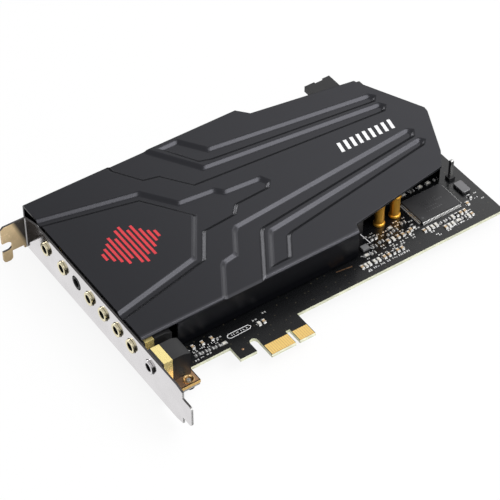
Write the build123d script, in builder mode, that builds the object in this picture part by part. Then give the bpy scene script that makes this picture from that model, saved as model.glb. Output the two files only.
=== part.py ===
from build123d import *
import os
from math import atan2, degrees

os.makedirs("parts", exist_ok=True)

# Half-length PCI Express x1 sound card, lying flat with its component side up.
# Card coordinates in millimetres: x from the bracket's outer face to the tail, y from the tip of
# the edge connector to the card's top edge, z up from the board's component face.

# Circuit board
board_t = 1.57
board_head = 1.7
board_tail = 168.5
board_front = 12.4
board_top = 110.9
foot_end = 15.9
foot_y = 5.3
hook_x0 = 34.0
hook_x1 = 41.6
hook_y = 5.2
corner_r = 0.6

# Edge connector, measured from the middle of its key notch
key_x = 57.2
tongue_head = 12.15
tongue_tail = 8.15
notch_w = 1.9
notch_depth = 7.4
slot_depth = 11.5
tip_bevel = 0.45
contact_pitch = 1.0
contact_w = 0.7
contact_y0 = 0.7
contact_y1 = 5.9
contact_t = 0.06
head_contacts = 11
tail_contacts = 7
contact_to_key = 1.5

# Bracket
bracket_t = 0.86
blade_w = 18.42
blade_z1 = 14.5
blade_z0 = blade_z1 - blade_w
seat_y = 107.3
bracket_len = 120.02
tip_y = seat_y - bracket_len
tip_w = 10.19
tip_len = 5.9
shoulder_len = 4.2
shoulder_in = 0.9
blade_corner = 8.0
tip_r = 1.6
tab_reach = 11.0
tab_z1 = 11.8
tab_corner = 1.2
screw_slot_w = 4.42
screw_slot_z = 0.9
screw_slot_x = -6.6
finger_z = -7.3
finger_w = 4.3
relief_z = -2.4
relief_x = -1.2
bend_r = 0.8
ear_w = 5.2
ear_end = 15.6

# Bracket fastening: flanged brass inserts in the board, screws from the solder side
insert_x = 12.2
insert_ys = (7.9, 101.5)
insert_r = 2.1
insert_flange_r = 2.3
insert_flange_t = 0.4
screw_r = 1.5
screw_head_r = 2.4
screw_head_t = 1.0
screw_gap = 0.1
ear_clearance = 0.1

# Jacks
jack_pitch = 10.0
jack_first_y = 28.0
jack_row = 6
jack_end_gap = 12.9
jack_z = 8.1
jack_w = 9.6
jack_top = 11.9
shell_end = 7.0
body_end = 15.0
nozzle_r = 2.9
nozzle_out = 1.0
plug_r = 1.8
chamber_w = 4.6
chamber_end = 14.0
bevel_run = 2.9
bevel_drop = 1.2
hole_clearance = 0.25
digital_nozzle_r = 2.8
digital_out = -0.15
pin_w = 1.0
pin_t = 0.5
pin_out = 1.3
pin_x0 = 3.4
pin_x1 = 12.8
pin_dy = 3.0

# Cover
cover_top = 14.2
sheet_t = 1.0
past = 4.0
cover_back = 112.4
cover_front = 23.8
cover_head = 2.1
cover_tail = 170.4
wall_z = 0.6
front_wall_x = 18.0
edge_r = 1.3
groove_depth = 1.2
groove_run = 2.4
boss_margin = 0.5
post_flats = 5.0
cover_screw_r = 1.25
cover_screw_head_r = 2.3
cover_screw_head_t = 1.2
cover_screw_in = 7.0
cover_hole_clearance = 0.15
post_spots = ((26, 104), (120, 100), (25, 31), (112, 37))

# Parts on the board
chip_l = 20.0
chip_w = 14.0
chip_z0 = 0.1
chip_z1 = 1.5
chip_x = 145.7
chip_y = 31.5
lead_pitch = 0.65
lead_w = 0.32
lead_reach = 1.0
lead_z = 0.6
lead_t = 0.3
lead_foot = 0.2
leads_long = 30
leads_short = 20
converter_x = 62.0
converter_ys = (58.0, 86.0)
converter_w = 7.0
converter_h = 0.9
amplified_jacks = (5, 4, 3, 1)
amplifier_x = 24.0
amplifier_l = 6.0
amplifier_w = 4.9
amplifier_body = 3.9
amplifier_foot_h = 0.3
amplifier_h = 1.6
filter_x = 40.0
filter_ys = (52.0, 64.0)
filter_r = 4.0
filter_h = 10.5
regulator_xs = (116.0, 130.0)
regulator_y = 90.0
regulator_w = 6.6
regulator_l = 9.6
regulator_body = 6.1
regulator_shift = 0.8
regulator_foot_h = 0.5
regulator_h = 2.3
can_x = 162.2
can_y = 31.9
can_l = 4.2
can_w = 7.0
can_h = 1.5
can_bevel = 0.5
gold_cap_r = 2.5
gold_cap_h = 11.6
gold_cap_bevel = 0.4
gold_cap_spots = ((121.6, 34.6), (129.8, 35.0))
post_x = 162.0
post_y = 39.4
post_side = 1.5
post_top = 10.2
post_base = 3.0
post_base_h = 1.5
post_bevel = 0.25
header_x0 = 141.2
header_x1 = 151.9
header_wing = 2.2
header_y0 = 102.4
header_y1 = 110.8
header_h = 11.0
wing_z = 8.1
header_wall = 1.2
header_pin = 1.1
header_pin_in = 2.2
header_pins = 4
header_pin_pitch = 2.3
header_pin_z = 2.9
header_socket = 5.6
header_notch_w = 4.2
header_notch = 0.8
header_notch_shift = 0.4
chip_part_h = 0.6
choke_x = 108.2
choke_y = 26.2
choke_l = 3.2
choke_w = 2.6
choke_h = 1.3

# The frame's origin is under the middle of the card's box, at its lowest point.
x0 = (tab_reach - cover_tail) / 2
y0 = -(tip_y + cover_back) / 2
z0 = -finger_z


def level(z):
    """Horizontal plane at card height z, in card x and y."""
    return Plane(origin=(x0, y0, z0 + z))


def facing_x(x):
    """Upright plane across the card at card x, in card y and z."""
    return Plane(origin=(x0 + x, y0, z0), x_dir=(0, 1, 0), z_dir=(1, 0, 0))


def facing_y(y):
    """Upright plane along the card at card y, in card x and z, its normal towards the connector."""
    return Plane(origin=(x0, y0 + y, z0), x_dir=(1, 0, 0), z_dir=(0, -1, 0))


def save(builder, name):
    builder.part.label = name
    export_step(builder.part, "parts/" + name + ".step")


jack_ys = [jack_first_y + n * jack_pitch for n in range(jack_row)]
jack_ys = [jack_first_y - jack_end_gap] + jack_ys + [jack_ys[-1] + jack_end_gap]
jack_ys.reverse()
digital = 2
pin_steps = ((pin_x0, 0), (pin_x1, -pin_dy), (pin_x1, pin_dy))
jack_pins = [(x, y + step) for y in jack_ys for x, step in pin_steps]
insert_spots = [(insert_x, y) for y in insert_ys]
header_mid = (header_x0 + header_x1) / 2
header_pin_y = header_y0 + header_pin_in
header_pin_spots = [
    (header_mid + (n - (header_pins - 1) / 2) * header_pin_pitch, header_pin_y) for n in range(header_pins)
]

tongue_x0 = key_x - tongue_head
tongue_x1 = key_x + tongue_tail
slot_r = (tongue_x0 - hook_x1) / 2
slot_y = slot_depth - slot_r
notch_x0 = key_x - notch_w / 2
notch_x1 = key_x + notch_w / 2

# Circuit board: one plate with the tongue, the hook tab and the foot behind the bracket.
with BuildPart() as board:
    with BuildSketch(level(-board_t)):
        with BuildLine():
            Polyline(
                (tongue_x0, slot_y),
                (tongue_x0, 0),
                (notch_x0, 0),
                (notch_x0, notch_depth),
                (notch_x1, notch_depth),
                (notch_x1, 0),
                (tongue_x1, 0),
                (tongue_x1, board_front),
                (board_tail, board_front),
                (board_tail, board_top),
                (board_head, board_top),
                (board_head, foot_y),
                (foot_end, foot_y),
                (foot_end, board_front),
                (hook_x0, board_front),
                (hook_x0, hook_y),
                (hook_x1, hook_y),
                (hook_x1, slot_y),
            )
            ThreePointArc((hook_x1, slot_y), (hook_x1 + slot_r, slot_depth), (tongue_x0, slot_y))
        make_face()
    extrude(amount=board_t)
    fillet(board.edges().filter_by(Axis.Z).group_by(Axis.X)[-1], corner_r)
    chamfer(board.edges().filter_by(Axis.X).group_by(Axis.Y)[0], tip_bevel)
    with BuildSketch(level(0)):
        with Locations(*insert_spots):
            Circle(insert_r)
        with Locations(*post_spots):
            Circle(cover_screw_r + cover_hole_clearance)
        with Locations(*jack_pins):
            Rectangle(pin_w, pin_t)
        with Locations(*header_pin_spots):
            Rectangle(header_pin, header_pin)
    extrude(amount=-board_t, mode=Mode.SUBTRACT)
save(board, "board")

# Edge contacts: a plated row on each face of the tongue.
contact_xs = [key_x - contact_to_key - n * contact_pitch for n in range(head_contacts)]
contact_xs += [key_x + contact_to_key + n * contact_pitch for n in range(tail_contacts)]
contact_spots = [(x, (contact_y0 + contact_y1) / 2) for x in contact_xs]
for name, z in (("edge_contacts_component", 0), ("edge_contacts_solder", -board_t - contact_t)):
    with BuildPart() as contacts:
        with BuildSketch(level(z)):
            with Locations(*contact_spots):
                Rectangle(contact_w, contact_y1 - contact_y0)
        extrude(amount=contact_t)
    save(contacts, name)

# Bracket: blade with a tapered tongue, tab bent outwards at the top, two ears under the board.
tip_z0 = (blade_z0 + blade_z1 - tip_w) / 2
tip_z1 = tip_z0 + tip_w
tip_root = tip_y + tip_len
full_y = tip_root + shoulder_len
slot_mid_x = screw_slot_x - screw_slot_w / 2
slot_z0 = screw_slot_z - screw_slot_w / 2
slot_z1 = screw_slot_z + screw_slot_w / 2
finger_x = finger_w - tab_reach
with BuildPart() as bracket:
    with BuildSketch(facing_x(0)):
        with BuildLine():
            Polyline(
                (seat_y, blade_z0),
                (full_y, blade_z0),
                (tip_root, blade_z0 + shoulder_in),
                (tip_root, tip_z0),
                (tip_y, tip_z0),
                (tip_y, tip_z1),
                (tip_root, tip_z1),
                (tip_root, blade_z1 - shoulder_in),
                (full_y, blade_z1),
                (seat_y - blade_corner, blade_z1),
                (seat_y, tab_z1),
                (seat_y + bracket_t, tab_z1),
                (seat_y + bracket_t, blade_z0),
                close=True,
            )
        make_face()
        with Locations(*[(y, jack_z) for y in jack_ys]):
            Circle(nozzle_r + hole_clearance, mode=Mode.SUBTRACT)
    extrude(amount=bracket_t)
    fillet(bracket.edges().filter_by(Axis.X).group_by(Axis.Y)[0], tip_r)
    with BuildSketch(facing_y(seat_y)):
        with BuildLine():
            Polyline(
                (bracket_t, blade_z0),
                (bracket_t, tab_z1),
                (tab_corner - tab_reach, tab_z1),
                (-tab_reach, tab_z1 - tab_corner),
                (-tab_reach, finger_z),
                (finger_x, finger_z),
                (finger_x, relief_z),
                (relief_x, relief_z),
                (relief_x, blade_z0),
                close=True,
            )
        make_face()
        fillet(vertices().sort_by(Axis.Y)[:2], tip_r)
        with BuildLine():
            Polyline(
                (-tab_reach - 1, slot_z0),
                (slot_mid_x, slot_z0),
            )
            ThreePointArc((slot_mid_x, slot_z0), (screw_slot_x, screw_slot_z), (slot_mid_x, slot_z1))
            Polyline(
                (slot_mid_x, slot_z1),
                (-tab_reach - 1, slot_z1),
                (-tab_reach - 1, slot_z0),
            )
        make_face(mode=Mode.SUBTRACT)
    extrude(amount=-bracket_t)
    bend = bracket.edges().filter_by(Axis.Z).group_by(Axis.Y)[-1].sort_by(Axis.X)[-1]
    fillet(bend, bend_r)
    for y in insert_ys:
        with BuildSketch(level(-board_t - bracket_t)):
            with Locations(((bracket_t / 2 + ear_end) / 2, y)):
                Rectangle(ear_end - bracket_t / 2, ear_w)
            with Locations((insert_x, y)):
                Circle(screw_r + ear_clearance, mode=Mode.SUBTRACT)
        extrude(amount=bracket_t)
save(bracket, "bracket")

# Threaded inserts, one for each ear.
for name, y in zip(("lower_insert", "upper_insert"), insert_ys):
    with BuildPart() as insert:
        with BuildSketch(level(-board_t)):
            with Locations((insert_x, y)):
                Circle(insert_r)
        extrude(amount=board_t)
        with BuildSketch(level(0)):
            with Locations((insert_x, y)):
                Circle(insert_flange_r)
        extrude(amount=insert_flange_t)
        with BuildSketch(level(insert_flange_t)):
            with Locations((insert_x, y)):
                Circle(screw_r)
        extrude(amount=-board_t - insert_flange_t, mode=Mode.SUBTRACT)
    save(insert, name)

# Screws that hold the ears against the board.
with BuildPart() as bracket_screws:
    with BuildSketch(level(-board_t - bracket_t)):
        with Locations(*insert_spots):
            Circle(screw_head_r)
    extrude(amount=-screw_head_t)
    with BuildSketch(level(-board_t - bracket_t)):
        with Locations(*insert_spots):
            Circle(screw_r)
    extrude(amount=board_t + bracket_t - screw_gap)
save(bracket_screws, "bracket_screws")


def moulding(start):
    """Side profile of a jack's moulding from x = start to its sloped rear, in card x and z."""
    slope = [(body_end, jack_top - bevel_drop), (body_end - bevel_run, jack_top)]
    return [(start, 0), (body_end, 0)] + slope + [(start, jack_top)]


# Jacks: a plated front shell with its nozzle through the bracket, and a moulded rear body.
for number, y in enumerate(jack_ys):
    if number == digital:
        with BuildPart() as digital_jack:
            with BuildSketch(facing_y(y + jack_w / 2)):
                Polygon(*moulding(bracket_t), align=None)
            extrude(amount=jack_w)
            with BuildSketch(facing_x(bracket_t)):
                with Locations((y, jack_z)):
                    Circle(digital_nozzle_r)
            extrude(amount=digital_out - bracket_t)
            with BuildSketch(facing_x(digital_out)):
                with Locations((y, jack_z)):
                    Circle(plug_r)
            extrude(amount=chamber_end - digital_out, mode=Mode.SUBTRACT)
        save(digital_jack, "digital_jack")
        continue
    name = "jack_" + str(number + 1)
    with BuildPart() as shell:
        with BuildSketch(facing_x(bracket_t)):
            with Locations((y, jack_top / 2)):
                Rectangle(jack_w, jack_top)
        extrude(amount=shell_end - bracket_t)
        with BuildSketch(facing_x(bracket_t)):
            with Locations((y, jack_z)):
                Circle(nozzle_r)
        extrude(amount=-nozzle_out - bracket_t)
        with BuildSketch(facing_x(-nozzle_out)):
            with Locations((y, jack_z)):
                Circle(plug_r)
        extrude(amount=shell_end + nozzle_out, mode=Mode.SUBTRACT)
    save(shell, name + "_shell")
    with BuildPart() as body:
        with BuildSketch(facing_y(y + jack_w / 2)):
            Polygon(*moulding(shell_end), align=None)
        extrude(amount=jack_w)
        with BuildSketch(facing_x(shell_end)):
            with Locations((y, jack_z)):
                Rectangle(chamber_w, chamber_w)
        extrude(amount=chamber_end - shell_end, mode=Mode.SUBTRACT)
    save(body, name + "_body")

# Jack pins, soldered through the board.
with BuildPart() as pins:
    with BuildSketch(level(0)):
        with Locations(*jack_pins):
            Rectangle(pin_w, pin_t)
    extrude(amount=-board_t - pin_out)
save(pins, "jack_pins")

# Cover: folded sheet over the board, open towards the bracket and along the tail's front edge.
back_jog = (108.6, 107.2)
tail_back = (155.8, 99.7)
tail_tip = (cover_tail, 68.5)
tail_turn = (cover_tail - 0.4, 66.0)
tail_front = (159.2, 43.4)
tail_corner = (153.4, 35.6)
front_jog = (105.0, 28.2)
front_end = 103.2
back_end = 104.2
cover_outline = [
    (cover_head, cover_back),
    (back_end, cover_back),
    back_jog,
    tail_back,
    tail_tip,
    tail_turn,
    tail_front,
    tail_corner,
    front_jog,
    (front_end, cover_front),
    (cover_head, cover_front),
]
head_past = cover_head - past
# The sunk channels of the embossing, half-way down their walls: each list follows the far side,
# then comes back on the near side.
upper_channel = [
    (65.6, 109.3),
    (73.6, 109.3),
    (81.3, 98.2),
    (155.4, 88.0),
    (157.0, 86.1),
    (155.2, 84.1),
    (79.4, 92.6),
    (74.3, 94.4),
]
back_channel = [
    (60.2, cover_back + past),
    (60.2, 111.2),
    (73.6, 90.0),
    (155.8, 80.9),
    (157.0, 79.0),
    (155.0, 76.8),
    (65.0, 83.6),
    (56.1, 95.9),
    (49.5, 97.6),
    (42.0, 109.4),
    (42.0, cover_back + past),
]
panel_channel = [
    (head_past, 102.0),
    (44.0, 91.9),
    (53.8, 78.3),
    (69.8, 76.5),
    (72.7, 73.2),
    (89.0, 71.8),
    (90.6, 68.4),
    (88.2, 65.5),
    (72.8, 64.8),
    (68.7, 60.3),
    (53.6, 59.2),
    (44.6, 45.8),
    (head_past, 35.6),
    (head_past, 39.3),
    (42.0, 48.8),
    (55.4, 69.0),
    (41.8, 88.4),
    (head_past, 98.6),
]
front_channel = [
    (37.0, cover_front - past),
    (48.9, 39.0),
    (50.5, 40.4),
    (56.6, 41.5),
    (63.4, 52.4),
    (65.4, 54.1),
    (155.4, 61.4),
    (157.0, 59.9),
    (155.2, 57.1),
    (73.9, 47.7),
    (72.0, 46.0),
    (55.4, cover_front - past),
]
tail_channel = [
    (64.4, 28.0),
    (74.0, 43.0),
    (75.6, 44.6),
    (156.0, 54.0),
    (157.2, 52.5),
    (155.4, 50.7),
    (81.7, 39.4),
    (79.6, 38.4),
    (72.9, 28.2),
]
channels = (upper_channel, back_channel, panel_channel, front_channel, tail_channel)
groove_taper = degrees(atan2(groove_run, groove_depth))
with BuildPart() as cover:
    with BuildSketch(level(wall_z)):
        Polygon(*cover_outline, align=None)
    extrude(amount=cover_top - wall_z)
    rim = cover.edges().group_by(Axis.Z)[-1]
    walled = [edge for edge in rim if abs(edge.center().Y - y0 - cover_front) < 0.1]
    walled += [edge for edge in rim if edge.center().Y - y0 > 99 and edge.center().X - x0 > 10]
    fillet(walled, edge_r)
    with BuildSketch(level(wall_z)):
        Polygon(
            (head_past, cover_back - sheet_t),
            (back_end - sheet_t / 2, cover_back - sheet_t),
            (back_jog[0] - sheet_t / 2, back_jog[1] - sheet_t),
            (tail_back[0] - sheet_t, tail_back[1] - sheet_t),
            (tail_tip[0] - sheet_t, tail_tip[1]),
            (tail_turn[0] - sheet_t, tail_turn[1]),
            (tail_front[0] - sheet_t, tail_front[1]),
            (tail_corner[0] - sheet_t, tail_corner[1] - past),
            (front_jog[0], front_jog[1] - past),
            (front_jog[0], cover_front + sheet_t),
            (front_wall_x, cover_front + sheet_t),
            (front_wall_x, cover_front - past),
            (head_past, cover_front - past),
            align=None,
        )
    extrude(amount=cover_top - sheet_t - wall_z, mode=Mode.SUBTRACT)
    for channel in channels:
        with BuildSketch(level(cover_top - sheet_t)):
            Polygon(*channel, align=None)
            offset(amount=boss_margin, kind=Kind.INTERSECTION)
            Polygon(*cover_outline, align=None, mode=Mode.INTERSECT)
        extrude(amount=-groove_depth)
    for channel in channels:
        with BuildSketch(level(cover_top)):
            Polygon(*channel, align=None)
            offset(amount=groove_run / 2, kind=Kind.INTERSECTION)
        extrude(amount=-groove_depth, taper=groove_taper, mode=Mode.SUBTRACT)
save(cover, "cover")

# Posts under the cover and their screws from the solder side.
post_h = cover_top - sheet_t
with BuildPart() as cover_posts:
    with BuildSketch(level(0)):
        with Locations(*post_spots):
            RegularPolygon(post_flats / 2, 6, major_radius=False)
            Circle(cover_screw_r, mode=Mode.SUBTRACT)
    extrude(amount=post_h)
save(cover_posts, "cover_posts")
with BuildPart() as cover_screws:
    with BuildSketch(level(-board_t)):
        with Locations(*post_spots):
            Circle(cover_screw_head_r)
    extrude(amount=-cover_screw_head_t)
    with BuildSketch(level(-board_t)):
        with Locations(*post_spots):
            Circle(cover_screw_r)
    extrude(amount=board_t + cover_screw_in)
save(cover_screws, "cover_screws")

# Main chip with a row of bent leads on each of its four sides.
with BuildPart() as processor:
    with BuildSketch(level(chip_z0)):
        with Locations((chip_x, chip_y)):
            Rectangle(chip_l, chip_w)
    extrude(amount=chip_z1 - chip_z0)
save(processor, "audio_processor")
lead_rows = (
    (0, leads_short, chip_l / 2),
    (90, leads_long, chip_w / 2),
    (180, leads_short, chip_l / 2),
    (270, leads_long, chip_w / 2),
)
with BuildPart() as leads:
    for turn, count, half in lead_rows:
        spot = Plane(origin=(x0 + chip_x, y0 + chip_y, z0)).rotated((0, 0, turn))
        profile = Plane(origin=spot.origin, x_dir=spot.x_dir, z_dir=-spot.y_dir)
        for n in range(count):
            across = (n - (count - 1) / 2) * lead_pitch
            with BuildSketch(profile.offset(across - lead_w / 2)):
                Polygon(
                    (half, lead_z),
                    (half + lead_reach, 0),
                    (half + lead_reach, lead_foot),
                    (half, lead_z + lead_t),
                    align=None,
                )
            extrude(amount=lead_w)
save(leads, "audio_processor_leads")

# Leadless converter chips, line amplifiers behind their jacks, filter capacitors and regulators.
for name, y in zip(("output_converter", "input_converter"), converter_ys):
    with BuildPart() as converter:
        with BuildSketch(level(0)):
            with Locations((converter_x, y)):
                Rectangle(converter_w, converter_w)
        extrude(amount=converter_h)
    save(converter, name)
for n, jack in enumerate(amplified_jacks):
    with BuildPart() as amplifier:
        with BuildSketch(level(0)):
            with Locations((amplifier_x, jack_ys[jack])):
                Rectangle(amplifier_l, amplifier_w)
        extrude(amount=amplifier_foot_h)
        with BuildSketch(level(amplifier_foot_h)):
            with Locations((amplifier_x, jack_ys[jack])):
                Rectangle(amplifier_body, amplifier_w)
        extrude(amount=amplifier_h - amplifier_foot_h)
    save(amplifier, "line_amplifier_" + str(n + 1))
for n, y in enumerate(filter_ys):
    with BuildPart() as filter_cap:
        with BuildSketch(level(0)):
            with Locations((filter_x, y)):
                Circle(filter_r)
        extrude(amount=filter_h)
    save(filter_cap, "filter_capacitor_" + str(n + 1))
for n, x in enumerate(regulator_xs):
    with BuildPart() as regulator:
        with BuildSketch(level(0)):
            with Locations((x, regulator_y)):
                Rectangle(regulator_w, regulator_l)
        extrude(amount=regulator_foot_h)
        with BuildSketch(level(regulator_foot_h)):
            with Locations((x, regulator_y - regulator_shift)):
                Rectangle(regulator_w, regulator_body)
        extrude(amount=regulator_h - regulator_foot_h)
    save(regulator, "regulator_" + str(n + 1))

# Crystal can beside the chip.
with BuildPart() as crystal:
    with BuildSketch(level(0)):
        with Locations((can_x, can_y)):
            Rectangle(can_l, can_w)
    extrude(amount=can_h)
    chamfer(crystal.edges().filter_by(Axis.Z), can_bevel)
save(crystal, "crystal")

# Gold capacitors at the cover's front edge.
for n, spot in enumerate(gold_cap_spots):
    with BuildPart() as gold_cap:
        with BuildSketch(level(0)):
            with Locations(spot):
                Circle(gold_cap_r)
        extrude(amount=gold_cap_h)
        chamfer(gold_cap.edges().group_by(Axis.Z)[-1], gold_cap_bevel)
    save(gold_cap, "gold_capacitor_" + str(n + 1))

# Slim post on its base near the tail.
with BuildPart() as tail_base:
    with BuildSketch(level(0)):
        with Locations((post_x, post_y)):
            Rectangle(post_base, post_base)
    extrude(amount=post_base_h)
save(tail_base, "tail_post_base")
with BuildPart() as tail_post:
    with BuildSketch(level(post_base_h)):
        with Locations((post_x, post_y)):
            Rectangle(post_side, post_side)
    extrude(amount=post_top - post_base_h)
    chamfer(tail_post.edges().group_by(Axis.Z)[-1], post_bevel)
save(tail_post, "tail_post")

# Power header: shroud open at the card's top edge, a wing on its bracket side, bent pins.
with BuildPart() as header:
    with BuildSketch(facing_y(header_y1)):
        with Locations((header_mid, header_h / 2)):
            Rectangle(header_x1 - header_x0, header_h)
        with Locations((header_x0 - header_wing / 2, (wing_z + header_h) / 2)):
            Rectangle(header_wing, header_h - wing_z)
    extrude(amount=header_y1 - header_y0)
    with BuildSketch(facing_y(header_y1)):
        with Locations((header_mid, header_h / 2)):
            Rectangle(header_x1 - header_x0 - 2 * header_wall, header_h - 2 * header_wall)
    extrude(amount=header_socket, mode=Mode.SUBTRACT)
    with BuildSketch(facing_y(header_y1)):
        with Locations((header_mid - header_notch_shift, header_h)):
            Rectangle(header_notch_w, 2 * header_wall)
    extrude(amount=header_notch, mode=Mode.SUBTRACT)
    with BuildSketch(facing_y(header_y1)):
        with Locations(*[(x, header_pin_z) for x, y in header_pin_spots]):
            Rectangle(header_pin, header_pin)
    extrude(amount=header_y1 - header_pin_y + header_pin / 2, mode=Mode.SUBTRACT)
    with BuildSketch(level(0)):
        with Locations(*header_pin_spots):
            Rectangle(header_pin, header_pin)
    extrude(amount=header_pin_z, mode=Mode.SUBTRACT)
save(header, "power_header")
with BuildPart() as header_pins_part:
    with BuildSketch(facing_y(header_y1 - header_notch)):
        with Locations(*[(x, header_pin_z) for x, y in header_pin_spots]):
            Rectangle(header_pin, header_pin)
    extrude(amount=header_y1 - header_notch - header_pin_y + header_pin / 2)
    with BuildSketch(level(-board_t - pin_out)):
        with Locations(*header_pin_spots):
            Rectangle(header_pin, header_pin)
    extrude(amount=board_t + pin_out + header_pin_z)
save(header_pins_part, "power_header_pins")


def chip_row(x, y, step_x, step_y, count):
    return [(x + n * step_x, y + n * step_y) for n in range(count)]


# Choke in front of the cover's jog.
with BuildPart() as choke:
    with BuildSketch(level(0)):
        with Locations((choke_x, choke_y)):
            Rectangle(choke_l, choke_w)
    extrude(amount=choke_h)
save(choke, "choke")

# Chip resistors lie along the card, chip capacitors across it.
resistors = chip_row(140, 42.4, 4.2, 0, 5) + chip_row(21.8, 16.2, 2.9, -0.2, 5)
resistors += chip_row(112.2, 25.0, 3.9, 0.7, 2) + chip_row(106.6, 22.8, 3.1, -0.5, 2)
resistors += chip_row(121.4, 27.2, 3.4, 0.7, 2) + chip_row(123.6, 30.0, 6.3, -0.6, 2)
resistors += chip_row(143.2, 20.6, 2.7, 0.05, 2) + chip_row(149.2, 17.9, 2.8, 0, 2)
capacitors = chip_row(101.2, 18.4, 1.8, 0, 3) + chip_row(107.2, 18.2, 2.0, 0, 2)
capacitors += chip_row(112, 18.1, 2.2, 0, 5) + chip_row(142.6, 17.7, 1.9, 0, 3)
capacitors += chip_row(154.4, 17.8, 1.8, 0, 2) + chip_row(134.2, 20.9, 2.0, 0, 4)
capacitors += chip_row(148.6, 20.8, 2.1, 0, 4) + chip_row(118.6, 24.4, 2.4, -0.1, 4)
capacitors += chip_row(128.3, 23.6, 1.8, 1.0, 3) + chip_row(113.6, 29.3, 1.9, -0.1, 2)
capacitors += chip_row(161.7, 26.3, -3.2, -2.7, 2) + chip_row(22.4, 20.6, 4.2, -0.2, 3)
capacitors += chip_row(50.2, 16.4, 2.2, 0, 2)
small_groups = (
    ("chip_resistors", resistors, (2.0, 1.25)),
    ("chip_capacitors", capacitors, (1.25, 2.0)),
)
for name, spots, size in small_groups:
    with BuildPart() as small_parts:
        with BuildSketch(level(0)):
            with Locations(*spots):
                Rectangle(*size)
        extrude(amount=chip_part_h)
    save(small_parts, name)
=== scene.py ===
import math
import random

import bmesh
import bpy
from bpy.props import FloatProperty, FloatVectorProperty, IntProperty, PointerProperty
from mathutils import Matrix, Quaternion, Vector


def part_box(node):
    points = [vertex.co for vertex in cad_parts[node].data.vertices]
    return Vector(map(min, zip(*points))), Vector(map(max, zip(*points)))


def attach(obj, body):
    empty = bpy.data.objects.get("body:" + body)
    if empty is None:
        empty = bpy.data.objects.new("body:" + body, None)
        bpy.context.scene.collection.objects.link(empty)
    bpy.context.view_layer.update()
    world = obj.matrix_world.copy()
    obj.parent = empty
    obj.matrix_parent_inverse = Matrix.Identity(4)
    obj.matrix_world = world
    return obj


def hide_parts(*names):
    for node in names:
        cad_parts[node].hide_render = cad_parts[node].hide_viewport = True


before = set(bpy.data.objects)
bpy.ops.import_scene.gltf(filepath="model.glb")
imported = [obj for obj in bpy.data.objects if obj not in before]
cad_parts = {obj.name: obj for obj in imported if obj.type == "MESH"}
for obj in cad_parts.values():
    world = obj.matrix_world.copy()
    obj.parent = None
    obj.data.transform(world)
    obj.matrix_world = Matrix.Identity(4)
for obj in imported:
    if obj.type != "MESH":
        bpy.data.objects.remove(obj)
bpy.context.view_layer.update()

bl_info = {
    "name": "Sound card",
    "version": (1, 0, 0),
    "blender": (4, 5, 0),
    "location": "View3D > Sidebar > Sound card",
    "description": "Dresses the solids of a slot sound card and sets its studio stage",
    "category": "Object",
}

BOARD_LOW, BOARD_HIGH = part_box("board")
MM = 0.001
UP = (0, 0, 1)
BOARD_START = 1.7 * MM
# Card coordinates start at the bracket's outer face, the connector's tip and the board's top face.
ORIGIN = Vector((BOARD_LOW.x - BOARD_START, BOARD_LOW.y, BOARD_HIGH.z))
# The board's thickness and the height of the jacks' axes, in card millimetres.
BOARD_T = (BOARD_HIGH.z - BOARD_LOW.z) / MM
JACK_Z = 8.1


def at(x, y, z):
    """Point of the frame in metres from card millimetres."""
    return ORIGIN + Vector((x, y, z)) * MM


class CardSizes(bpy.types.PropertyGroup):
    """Small radii and thicknesses that the dressed pieces add to the solids."""

    edge_round: FloatProperty(
        name="Edge round", description="Radius on moulded and cut edges", default=0.12 * MM, unit="LENGTH")
    sheet_round: FloatProperty(
        name="Sheet round", description="Radius on the bracket's edges", default=0.16 * MM, unit="LENGTH")
    channel_depth: FloatProperty(
        name="Channel depth", description="Depth of the cover's channels", default=1.2 * MM, unit="LENGTH")
    channel_steps: IntProperty(
        name="Channel steps", description="Facets down a channel's wall", default=10, min=2)
    corner_turn: FloatProperty(
        name="Corner turn", description="Length in which a channel's wall turns",
        default=1.3 * MM, unit="LENGTH")
    cover_round: FloatProperty(
        name="Cover edge", description="Round on the cover's cut edges", default=0.25 * MM, unit="LENGTH")
    rim_round: FloatProperty(
        name="Nozzle rim", description="Bevel of a jack nozzle's outer rim", default=0.14 * MM, unit="LENGTH")
    mouth_round: FloatProperty(
        name="Nozzle mouth", description="Bevel round a jack's mouth", default=0.2 * MM, unit="LENGTH")
    print_t: FloatProperty(
        name="Print thickness", description="Height of printed ink", default=0.03 * MM, unit="LENGTH")
    solder_h: FloatProperty(
        name="Solder height", description="Height of a solder cone", default=0.8 * MM, unit="LENGTH")
    bend_round: FloatProperty(
        name="Bend round", description="Radius in the bend of the bracket's tab",
        default=0.35 * MM, unit="LENGTH")


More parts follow.
